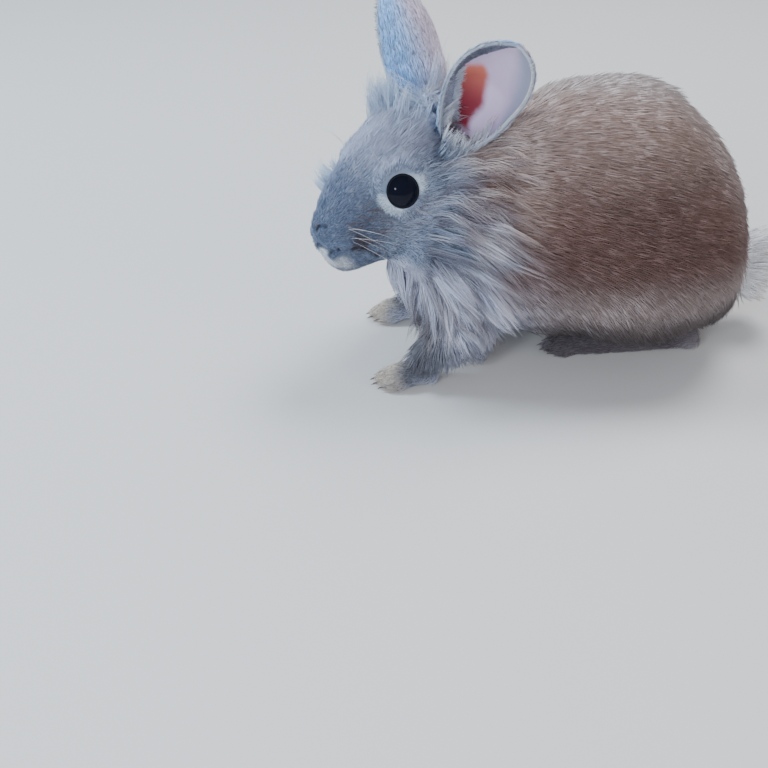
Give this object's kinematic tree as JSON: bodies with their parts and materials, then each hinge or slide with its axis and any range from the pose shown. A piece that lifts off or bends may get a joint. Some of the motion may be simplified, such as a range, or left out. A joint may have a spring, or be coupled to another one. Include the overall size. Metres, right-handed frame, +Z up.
{
  "type": "lionhead rabbit",
  "caption": "Life-size lionhead rabbit crouched on all fours, head turned to its left, with upright ears, a long mane around the neck and a fluffy tail.",
  "frame": {"origin": "middle of the model's box at floor level", "axes": "+Z up, the body lies along Y with the chest towards -Y and the tail towards +Y, the rabbit's left side towards +X"},
  "size_m": [0.1096, 0.234, 0.174],
  "materials": {
    "fur_grey": "short soft slate-grey fur",
    "fur_fawn": "dense fawn-brown fur",
    "fur_pale": "long silky pale grey fur",
    "fur_white": "fluffy white fur",
    "ear_skin": "thin pink skin with short down",
    "eye_dark": "wet and glossy, nearly black"
  },
  "bodies": {
    "root": {"ear_left": "ear_skin", "ear_right": "ear_skin", "eye_left": "eye_dark", "eye_right": "eye_dark", "foreleg_left": "fur_pale", "foreleg_right": "fur_pale", "forepaw_left": "fur_pale", "forepaw_right": "fur_pale", "head": "fur_grey", "hind_foot_left": "fur_pale", "hind_foot_right": "fur_pale", "neck": "fur_pale", "tail": "fur_white", "thigh_left": "fur_fawn", "thigh_right": "fur_fawn", "torso": "fur_fawn"}
  },
  "joints": []
}
